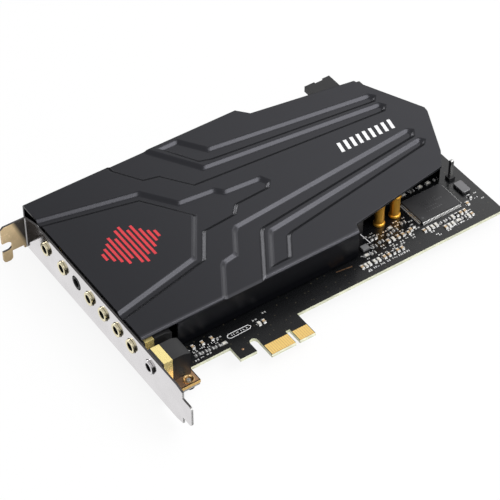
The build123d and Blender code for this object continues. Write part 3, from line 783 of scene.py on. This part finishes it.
class CARD_OT_fasteners(bpy.types.Operator):
    """Inserts, bracket screws, cover posts and cover screws"""

    bl_idname = "card.fasteners"
    bl_label = "Fasteners"

    def cross_ends(self, work, name, deep):
        """Adds the ends of a node's screw heads, each a disc with a cross cut through it."""
        arm, half = 1.2 * MM, 0.26 * MM
        quarter = [Vector((half, arm, 0)), Vector((half, half, 0)), Vector((arm, half, 0))]
        cross = [Matrix.Rotation(-math.pi / 2 * n, 3, "Z") @ p for n in range(4) for p in quarter]
        for low, high in islands(name):
            middle = at((low[0] + high[0]) / 2, (low[1] + high[1]) / 2, low[2])
            radius = (high[0] - low[0]) / 2 * MM
            holed_plate(work, middle, radius, [middle + p for p in cross], deep)

    def insert(self, name, finish, width):
        """Threaded insert with a countersunk bore."""
        work = merged(name)
        low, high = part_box(name)
        middle = (low + high) / 2

        def mouth(edge):
            at_top = all(abs(v.co.z - high.z) < 1e-5 for v in edge.verts)
            return at_top and all((v.co - middle).xy.length < 1.7 * MM for v in edge.verts)

        def outside(edge):
            return all((v.co - middle).xy.length > 2.0 * MM for v in edge.verts)

        soften(work, 0.4 * MM, 1, mouth, clamp=False)
        soften(work, width, 2, outside)
        piece(name + "_turned", work, [finish], "brass", name)

    def execute(self, context):
        look = finishes(context)
        width = context.scene.card_sizes.edge_round
        for name in ("lower_insert", "upper_insert"):
            self.insert(name, look["brass"], width / 2)
        ends, deep, point = bmesh.new(), 0.4 * MM, 0.7 * MM
        for name in ("bracket_screws", "cover_screws"):
            self.cross_ends(ends, name, deep)
            work = merged(name)
            base, top = min(v.co.z for v in work.verts), max(v.co.z for v in work.verts)
            for vert in [v for v in work.verts if v.co.z < base + 1e-6]:
                vert.co.z += deep
            tips = [f for f in work.faces if f.normal.z > 0.9 and f.calc_center_median().z > top - 1e-5]
            if name == "bracket_screws":
                inset = bmesh.ops.inset_individual(work, faces=tips, thickness=point, depth=0.0)["faces"]
                kept = {v for f in tips for v in f.verts}
                for vert in {v for f in inset for v in f.verts} - kept:
                    vert.co.z -= point
            soften(work, width * 2, 3, lambda e: min(v.co.z for v in e.verts) > base + 2 * deep)
            piece(name + "_turned", work, [look["steel"]], "steel", name)
        closed(ends)
        piece("screw_ends", ends, [look["steel"]], "steel")
        # Cover posts, under the cover, in the steel painted dark as shade.
        dressed("cover_posts", "_turned", look["cut_steel"], "steel", width)
        return {"FINISHED"}


class CARD_OT_jacks(bpy.types.Operator):
    """Jack shells with bevelled nozzles, moulded bodies, dark socket liners and soldered pins"""

    bl_idname = "card.jacks"
    bl_label = "Jacks"

    def socket(self, number, look, sizes):
        """Front of one jack, with its nozzle and mouth bevelled."""
        digital = number == 3
        name = "digital_jack" if digital else "jack_%d_shell" % number
        low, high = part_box(name)
        axis = Vector((low.x, (low.y + high.y) / 2, at(0, 0, JACK_Z).z))
        work = merged(name)

        def rim(edge, near, far):
            ends = [v.co for v in edge.verts]
            if any(abs(p.x - low.x) > 1e-5 for p in ends):
                return False
            return all(near * MM < (p - axis).length < far * MM for p in ends)

        def behind(edge):
            return min(v.co.x for v in edge.verts) > low.x + MM

        soften(work, sizes.mouth_round, 3, lambda e: rim(e, 1.6, 2.0), clamp=False)
        soften(work, sizes.rim_round, 3, lambda e: rim(e, 2.6, 3.0), clamp=False)
        soften(work, sizes.edge_round, 2, behind, limit=60.0)
        if digital:
            piece("digital_jack_moulding", work, [look["nylon"]], "black_plastic", name)
            return
        plate, band = at(0.9, 0, 0).x, at(3.1, 0, 0).x
        bmesh.ops.bisect_plane(work, geom=[*work.verts, *work.edges, *work.faces], plane_co=(band, 0, 0),
                               plane_no=(1, 0, 0), dist=1e-7)
        for face in work.faces:
            middle = face.calc_center_median().x
            face.material_index = 0 if middle > band else 1 if middle > plate else 2
        nozzle = look["nickel"] if number == 8 else look["pale_gold"]
        piece(name + "_plated", work, [look["gold"], look["nylon"], nozzle], "gold_plate", name)
        dressed("jack_%d_body" % number, "_moulding", look["nylon"], "black_plastic", sizes.edge_round * 1.5)

    def liner(self, work, name, start):
        """Dark tube with a closed end inside one jack, its start given from the bracket's outer face."""
        low, high = card_box(name)
        outer, inner, wall, tail = 1.79, 1.70, 0.1, 13.9 - start
        outline = [(outer, 0), (outer, tail), (0, tail), (0, tail - wall), (inner, tail - wall), (inner, 0),
                   (outer, 0)]
        lathe(work, (start, (low.y + high.y) / 2, JACK_Z), (1, 0, 0), outline, 28)

    def execute(self, context):
        look = finishes(context)
        sizes = context.scene.card_sizes
        for number in range(1, 9):
            self.socket(number, look, sizes)
        liners = bmesh.new()
        self.liner(liners, "digital_jack", 0.1)
        for name in [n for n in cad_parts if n.endswith("_shell")]:
            self.liner(liners, name, -0.75)
        closed(liners)
        piece("socket_liners", liners, [look["nylon"]], "black_plastic")

        pin_nodes = ("jack_pins", "power_header_pins")
        for name in pin_nodes:
            dressed(name, "_tinned", look["tin"], "steel")
        cones, tall = bmesh.new(), sizes.solder_h / MM
        outline = [(1.05, 0), (0.8, 0.2 * tall), (0.52, 0.525 * tall), (0.42, 0.9375 * tall), (0, tall)]
        for name in pin_nodes:
            for low, high in islands(name):
                # A header pin bends towards the plug, so its foot is at the low end.
                bent = name == "power_header_pins"
                y = low[1] + 0.55 if bent else (low[1] + high[1]) / 2
                lathe(cones, ((low[0] + high[0]) / 2, y, -BOARD_T), (0, 0, -1), outline, 20)
        closed(cones)
        piece("solder_cones", cones, [look["tin"]], "steel")
        return {"FINISHED"}


class CARD_OT_cover(bpy.types.Operator):
    """Embossed cover with soft radii along its channels"""

    bl_idname = "card.cover"
    bl_label = "Cover"

    def execute(self, context):
        look = finishes(context)
        sizes = context.scene.card_sizes
        work = merged("cover")
        low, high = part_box("cover")
        margin = 2.2 * MM
        inner = (low.y + margin, high.y - margin)
        depth = sizes.channel_depth
        for y in inner:
            bmesh.ops.bisect_plane(work, geom=[*work.verts, *work.edges, *work.faces], plane_co=(0, y, 0),
                                   plane_no=(0, 1, 0), dist=1e-7)

        def sloped():
            """Faces of the channels' straight walls."""
            leaning = [f for f in work.faces if 0.86 < f.normal.z < 0.93]
            return [f for f in leaning if f.calc_center_median().z > high.z - depth]

        def slice_walls(walls, spot, across):
            """Cuts the walls along a plane."""
            edges = {e for f in walls for e in f.edges}
            verts = {v for f in walls for v in f.verts}
            geometry = [*verts, *edges, *walls]
            bmesh.ops.bisect_plane(work, geom=geometry, plane_co=spot, plane_no=across, dist=1e-8)

        def corners():
            """Edges at which two straight walls meet."""
            walls = set(sloped())
            shared = [e for e in work.edges if len(e.link_faces) == 2 and walls.issuperset(e.link_faces)]
            return [e for e in shared if e.calc_face_angle() > 0.05]

        # A wall is cut a short way from each corner, so that its shading turns only there.
        cuts = []
        for edge in corners():
            corner = edge.verts[0].co.copy()
            for face in edge.link_faces:
                across = (edge.verts[1].co - corner).cross(face.normal).normalized()
                if across.dot(face.calc_center_median() - corner) < 0:
                    across.negate()
                extent = max(across.dot(v.co - corner) for v in face.verts)
                reach = min(sizes.corner_turn, 0.35 * extent)
                cuts.append((corner + across * reach, across, face.normal.copy()))
        for spot, across, normal in cuts:
            same_way = [f for f in sloped() if f.normal.dot(normal) > 0.99999]
            wall = [f for f in same_way if abs(normal.dot(f.calc_center_median() - spot)) < 1e-5]
            slice_walls(wall, spot, across)

        # Level cuts, moved to a curve that leaves the top and meets the floor smoothly.
        for step in range(1, sizes.channel_steps):
            slice_walls(sloped(), (0, 0, high.z - depth * step / sizes.channel_steps), UP)
        for vert in {v for f in sloped() for v in f.verts}:
            share = (high.z - vert.co.z) / depth
            vert.co.z = high.z - depth * (0.5 - 0.5 * math.cos(math.pi * share))

        def cut_edge(edge):
            ends = [v.co for v in edge.verts]
            return all(abs(p.z - high.z) < 1e-5 and inner[0] - 1e-6 < p.y < inner[1] + 1e-6 for p in ends)

        soften(work, sizes.cover_round, 2, cut_edge, limit=60.0, clamp=False)
        piece("cover_sheet", work, [look["coat"]], "cover", "cover", smooth=50.0)
        return {"FINISHED"}


class CARD_OT_prints(bpy.types.Operator):
    """Plain level bars printed on the cover"""

    bl_idname = "card.prints"
    bl_label = "Cover print"

    def execute(self, context):
        look = finishes(context)
        ink = context.scene.card_sizes.print_t
        top = card_box("cover")[1].z
        red = bmesh.new()
        first, pitch, middle, width = 13.5, 2.17, 68.3, 1.15
        for n, tall in enumerate((4, 8, 12, 17, 13, 21, 23, 16, 19, 12, 7, 4)):
            x = first + n * pitch
            stroke(red, (x, middle - tall / 2), (x, middle + tall / 2), width, top, ink)
        piece("red_level_bars", red, [look["red_ink"]], "cover")
        white = bmesh.new()
        first, pitch, low, high, lean, width = 126.0, 3.2, 65.2, 70.8, 1.2, 1.5
        for n in range(9):
            x = first + n * pitch
            stroke(white, (x, low), (x + lean, high), width, top, ink)
        piece("white_level_bars", white, [look["white_ink"]], "cover")
        return {"FINISHED"}


class CARD_OT_chips(bpy.types.Operator):
    """Main chip with its marks and bent leads, crystal, choke and the small chips under the cover"""

    bl_idname = "card.chips"
    bl_label = "Chips"

    def marks(self, low, high, height):
        """Rows of short plain strokes and the corner dot on the main chip."""
        work = bmesh.new()
        pitch, tall, tick = 1.05, 0.9, 0.5
        # Rows of strokes: middle line, start and end.
        rows = ((33.4, 140.6, 149.8), (31.6, 141.4, 151.0), (29.8, 141.4, 147.6), (28.0, 141.0, 149.2))
        for y, x, end in rows:
            while x < end:
                stroke(work, (x, y - tall / 2), (x, y + tall / 2), 0.18, high.z, height)
                stroke(work, (x, y), (x + tick, y), 0.16, high.z, height)
                x += pitch
        inset, radius, raised = 1.6, 0.55, 0.012
        dot = [(0, raised), (radius, raised), (radius, 0)]
        lathe(work, (low.x + inset, low.y + inset, high.z), UP, dot, 20)
        closed(work)
        return work

    def bent_leads(self, low, high):
        """Leads of the main chip: each leaves its side, bends down and ends in a foot on the board."""
        work = bmesh.new()
        path = [(0, 0.6), (0.22, 0.6), (0.38, 0.48), (0.46, 0.12), (0.58, 0), (1.0, 0)]
        thick = 0.18
        section = path + [(d, h + thick) for d, h in reversed(path)]
        for lead_low, lead_high in islands("audio_processor_leads"):
            middle = [(a + b) / 2 for a, b in zip(lead_low, lead_high)]
            side = 1 if lead_high[0] - lead_low[0] < lead_high[1] - lead_low[1] else 0
            sign = 1 if middle[side] > (low[side] + high[side]) / 2 else -1
            root = lead_low[side] if sign > 0 else lead_high[side]
            verts = []
            for d, h in section:
                spot = [0, 0, h]
                spot[side] = root + sign * d
                spot[1 - side] = lead_low[1 - side]
                verts.append(work.verts.new(at(*spot)))
            shift = Vector((0, 0, 0))
            shift[1 - side] = (lead_high[1 - side] - lead_low[1 - side]) * MM
            draw_out(work, [work.faces.new(verts)], shift)
        closed(work)
        return work

    def execute(self, context):
        look = finishes(context)
        sizes = context.scene.card_sizes
        dressed("audio_processor", "_moulding", look["epoxy"], "chip", sizes.edge_round * 1.6)
        low, high = card_box("audio_processor")
        piece("chip_marks", self.marks(low, high, sizes.print_t / 2), [look["can"]], "chip")
        leads = self.bent_leads(low, high)
        piece("audio_processor_bent_leads", leads, [look["tin"]], "tin", "audio_processor_leads")
        dressed("crystal", "_can", look["can"], "can", 0.3 * MM, 3)
        dressed("choke", "_block", look["ferrite"], "can", 0.2 * MM, 3)
        names = ["output_converter", "input_converter"]
        names += [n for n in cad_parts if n.startswith(("line_amplifier", "regulator"))]
        for name in names:
            dressed(name, "_moulding", look["epoxy"], "chip", sizes.edge_round)
        return {"FINISHED"}


class CARD_OT_small_parts(bpy.types.Operator):
    """Chip resistors and chip capacitors with metal ends, and loose solder pads between them"""

    bl_idname = "card.small_parts"
    bl_label = "Small parts"

    def chip_part(self, work, low, high, kind):
        """Small part in its box: a body, two metal ends and a fillet of solder at each."""
        side = 0 if high[0] - low[0] > high[1] - low[1] else 1
        cap, metal = 0.24 * (high[side] - low[side]), 1
        lap, slim, sunk, fillet, thin = 0.8 * cap, 0.05, 0.04, 0.3, 0.05
        body_low, body_high = list(low), list(high)
        body_low[side] += lap
        body_high[side] -= lap
        body_low[1 - side] += slim
        body_high[1 - side] -= slim
        body_high[2] -= sunk
        block(work, body_low, body_high, 0.06 * MM, 2, kind)
        for far in (0, 1):
            end_low, end_high = list(low), list(high)
            if far:
                end_low[side] = high[side] - cap
            else:
                end_high[side] = low[side] + cap
            block(work, end_low, end_high, 0.08 * MM, 2, metal)
            end_low[side] -= fillet * (1 - far)
            end_high[side] += fillet * far
            end_high[2] = thin
            block(work, end_low, end_high, 0.0, 1, metal)

    def loose_pads(self, chance):
        """Pairs of solder pads, scattered over zones of the board that no part takes up."""
        work = bmesh.new()
        standing = ("chip_resistors", "chip_capacitors", "choke", "audio_processor_leads", "gold_capacitor_1",
                    "gold_capacitor_2", "crystal", "tail_post_base")
        taken = [box for name in standing for box in islands(name)]
        room, thin = 0.4, 0.03
        # Zones: two corners and the number of tries.
        zones = ((105, 19.5, 134, 32, 110), (134, 15.5, 158, 23, 40), (157, 22, 166, 28, 8),
                 (100, 15, 124, 17, 10), (110, 20, 130, 27, 60), (19, 13.5, 34, 22, 16), (48, 14, 58, 21, 6))

        def apart(near, far, box):
            return any(box[0][i] - room >= far[i] or box[1][i] + room <= near[i] for i in (0, 1))

        for x0, y0, x1, y1, count in zones:
            for n in range(count):
                x, y = chance.uniform(x0, x1), chance.uniform(y0, y1)
                wide, tall, gap = chance.choice(((0.6, 0.8, 0.5), (0.8, 0.6, 0.5), (0.5, 0.5, 0.3)))
                near, far = (x - wide - gap, y - tall / 2, 0), (x + wide + gap, y + tall / 2, 0)
                if not all(apart(near, far, box) for box in taken):
                    continue
                taken.append((near, far))
                for start in (x - wide - gap / 2, x + gap / 2):
                    block(work, (start, y - tall / 2, 0), (start + wide, y + tall / 2, thin))
        return work

    def execute(self, context):
        look = finishes(context)
        chance = random.Random(23)
        used = [look["epoxy"], look["tin"], look["ceramic"], look["pale_ceramic"]]
        dark, brown, pale = 0, 2, 3
        for name, slot, kinds in (("chip_resistors", "chip", (dark, dark, dark, pale)),
                                  ("chip_capacitors", "ceramic", (brown, brown, pale, dark))):
            work = bmesh.new()
            for low, high in islands(name):
                self.chip_part(work, low, high, chance.choice(kinds))
            piece(name + "_dressed", work, used, slot, name)
        piece("bare_pads", self.loose_pads(chance), [look["tin"]], "tin")
        return {"FINISHED"}


class CARD_OT_capacitors(bpy.types.Operator):
    """Gold capacitors at the cover's edge and the cans under it"""

    bl_idname = "card.capacitors"
    bl_label = "Capacitors"

    def execute(self, context):
        look = finishes(context)
        for name in ("gold_capacitor_1", "gold_capacitor_2"):
            low, high = card_box(name)
            tall = high.z
            foot = [(0, 0), (2.3, 0), (2.5, 0.2), (2.5, 1.0), (2.3, 1.25)]
            waist = [(2.0, 1.45), (1.95, 1.7), (2.05, 1.95), (2.05, tall - 1.6)]
            crown = [(2.25, tall - 1.3), (2.4, tall - 0.8), (2.3, tall - 0.3), (2.0, tall), (0, tall)]
            work = bmesh.new()
            lathe(work, ((low.x + high.x) / 2, (low.y + high.y) / 2, 0), UP, foot + waist + crown)
            closed(work)
            piece(name + "_sleeve", work, [look["sleeve"]], "gold_sleeve", name)
        for name in [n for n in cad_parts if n.startswith("filter_capacitor")]:
            dressed(name, "_can", look["can"], "can", 0.5 * MM, 3)
        return {"FINISHED"}


class CARD_OT_posts(bpy.types.Operator):
    """Tail post on its base and the power header"""

    bl_idname = "card.posts"
    bl_label = "Tail post and header"

    def execute(self, context):
        look = finishes(context)
        width = context.scene.card_sizes.edge_round
        dressed("tail_post", "_dressed", look["steel"], "brass", width)
        for name in ("tail_post_base", "power_header"):
            dressed(name, "_dressed", look["nylon"], "black_plastic", width)
        return {"FINISHED"}


class CARD_OT_stage(bpy.types.Operator):
    """Pale floor, soft lamps, even sky and the camera"""

    bl_idname = "card.stage"
    bl_label = "Stage"

    def seen_white(self, tree, dull, white):
        """Shader that is white to the eye and dull to other rays."""
        path = node(tree, "ShaderNodeLightPath")
        seen = math_of(tree, "MAXIMUM", path.outputs["Is Camera Ray"], path.outputs["Is Transmission Ray"])
        mix = node(tree, "ShaderNodeMixShader")
        wire(tree, seen, mix.inputs[0])
        wire(tree, dull, mix.inputs[1])
        wire(tree, white, mix.inputs[2])
        return mix.outputs[0]

    def studio(self, tree):
        """Brightness of the room by direction: pale above, dark level, white low on the bracket's side."""
        place = node(tree, "ShaderNodeTexCoord")
        parts = node(tree, "ShaderNodeSeparateXYZ")
        wire(tree, place.outputs["Generated"], parts.inputs[0])
        x, y, z = parts.outputs
        height = ranged(tree, z, 0.2, 0.6, 0.02, 1.0)
        tail_side = ranged(tree, x, 0.36, 0.6, 0.98, 2.9)
        ceiling = math_of(tree, "MULTIPLY", height, tail_side)
        bracket_side = math_of(tree, "SUBTRACT", math_of(tree, "MULTIPLY", y, 0.5), x)
        ground = ranged(tree, bracket_side, 0.15, 0.6, 0.03, 1.38)
        above = ranged(tree, z, -0.02, 0.02, 0.0, 1.0)
        return weighted(tree, ceiling, above, ground, math_of(tree, "SUBTRACT", 1.0, above))

    def lamp(self, name, place, size, power, turn=0.0):
        """Soft lamp that faces the card, turned round its own axis."""
        data = bpy.data.lights.new(name, "AREA")
        data.shape = "RECTANGLE"
        data.size, data.size_y = size
        data.energy = power
        made = bpy.data.objects.new(name, data)
        bpy.context.scene.collection.objects.link(made)
        made.location = place
        aim = (-made.location).to_track_quat("-Z", "Y")
        made.rotation_euler = (aim @ Quaternion(UP, math.radians(turn))).to_euler()

    def pale_floor(self, scene, colour):
        """Floor that looks nearly white and keeps the card's shadow."""
        work = bmesh.new()
        bmesh.ops.create_grid(work, x_segments=1, y_segments=1, size=6.0)
        mesh = bpy.data.meshes.new("floor")
        work.to_mesh(mesh)
        work.free()
        floor = bpy.data.objects.new("floor", mesh)
        scene.collection.objects.link(floor)
        material = bpy.data.materials.new("pale_floor")
        material.use_nodes = True
        tree = material.node_tree
        tree.nodes.clear()
        dull = node(tree, "ShaderNodeBsdfDiffuse")
        dull.inputs["Color"].default_value = (*colour, 1.0)
        glow = node(tree, "ShaderNodeEmission")
        glow.inputs["Color"].default_value = (1.0, 1.0, 1.0, 1.0)
        glow.inputs["Strength"].default_value = 1.0
        pale = node(tree, "ShaderNodeMixShader")
        pale.inputs[0].default_value = 0.9
        wire(tree, dull.outputs[0], pale.inputs[1])
        wire(tree, glow.outputs[0], pale.inputs[2])
        out = node(tree, "ShaderNodeOutputMaterial")
        wire(tree, self.seen_white(tree, dull.outputs[0], pale.outputs[0]), out.inputs["Surface"])
        mesh.materials.append(material)
        floor.visible_glossy = False

    def sky(self, scene, strength):
        """World that lights the card as a studio does, and is white to the eye."""
        world = scene.world or bpy.data.worlds.new("sky")
        scene.world = world
        world.use_nodes = True
        tree = world.node_tree
        tree.nodes.clear()
        even = node(tree, "ShaderNodeBackground")
        even.inputs["Strength"].default_value = strength
        wire(tree, self.studio(tree), even.inputs["Color"])
        white = node(tree, "ShaderNodeBackground")
        white.inputs["Color"].default_value = (1.0, 1.0, 1.0, 1.0)
        white.inputs["Strength"].default_value = 1.0
        out = node(tree, "ShaderNodeOutputWorld")
        wire(tree, self.seen_white(tree, even.outputs[0], white.outputs[0]), out.inputs["Surface"])

    def camera(self, scene, settings):
        """Camera at the photographer's place."""
        data = bpy.data.cameras.new("camera")
        data.lens = settings.lens
        data.sensor_width = 36.0
        data.clip_start, data.clip_end = 0.01, 50.0
        made = bpy.data.objects.new("camera", data)
        scene.collection.objects.link(made)
        made.location = at(*settings.eye)
        made.rotation_euler = Vector(settings.gaze).to_track_quat("-Z", "Y").to_euler()
        scene.camera = made

    def execute(self, context):
        scene = context.scene
        settings = scene.stage_settings
        scene.view_settings.view_transform = "Standard"
        self.pale_floor(scene, settings.floor)
        self.sky(scene, settings.sky)
        self.lamp("top_lamp", (0.345, -0.42, 0.84), (0.80, 0.52), settings.top_power, -26.0)
        self.lamp("front_lamp", (0.15, -0.95, 0.22), (0.8, 0.3), settings.front_power)
        self.lamp("right_lamp", (0.95, 0.22, 0.16), (0.5, 0.3), settings.right_power)
        self.lamp("back_lamp", (-0.16, 0.95, 0.26), (0.6, 0.25), settings.back_power)
        self.camera(scene, settings)
        return {"FINISHED"}


OPERATORS = (
    CARD_OT_board,
    CARD_OT_silk,
    CARD_OT_bracket,
    CARD_OT_fasteners,
    CARD_OT_jacks,
    CARD_OT_cover,
    CARD_OT_prints,
    CARD_OT_chips,
    CARD_OT_small_parts,
    CARD_OT_capacitors,
    CARD_OT_posts,
    CARD_OT_stage,
)


class CARD_PT_sidebar(bpy.types.Panel):
    """Lists the steps that dress the card"""

    bl_label = "Sound card"
    bl_idname = "CARD_PT_sidebar"
    bl_space_type = "VIEW_3D"
    bl_region_type = "UI"
    bl_category = "Sound card"

    def draw(self, context):
        for operator in OPERATORS:
            self.layout.operator(operator.bl_idname)


CLASSES = (CardSizes, CardFinishes, StageSettings, *OPERATORS, CARD_PT_sidebar)


def register():
    for cls in CLASSES:
        bpy.utils.register_class(cls)
    bpy.types.Scene.card_sizes = PointerProperty(type=CardSizes)
    bpy.types.Scene.card_finishes = PointerProperty(type=CardFinishes)
    bpy.types.Scene.stage_settings = PointerProperty(type=StageSettings)


def unregister():
    del bpy.types.Scene.stage_settings
    del bpy.types.Scene.card_finishes
    del bpy.types.Scene.card_sizes
    for cls in reversed(CLASSES):
        bpy.utils.unregister_class(cls)


def main():
    register()
    bpy.ops.card.board()
    bpy.ops.card.silk()
    bpy.ops.card.bracket()
    bpy.ops.card.fasteners()
    bpy.ops.card.jacks()
    bpy.ops.card.cover()
    bpy.ops.card.prints()
    bpy.ops.card.chips()
    bpy.ops.card.small_parts()
    bpy.ops.card.capacitors()
    bpy.ops.card.posts()
    bpy.ops.card.stage()


if __name__ == "__main__":
    main()
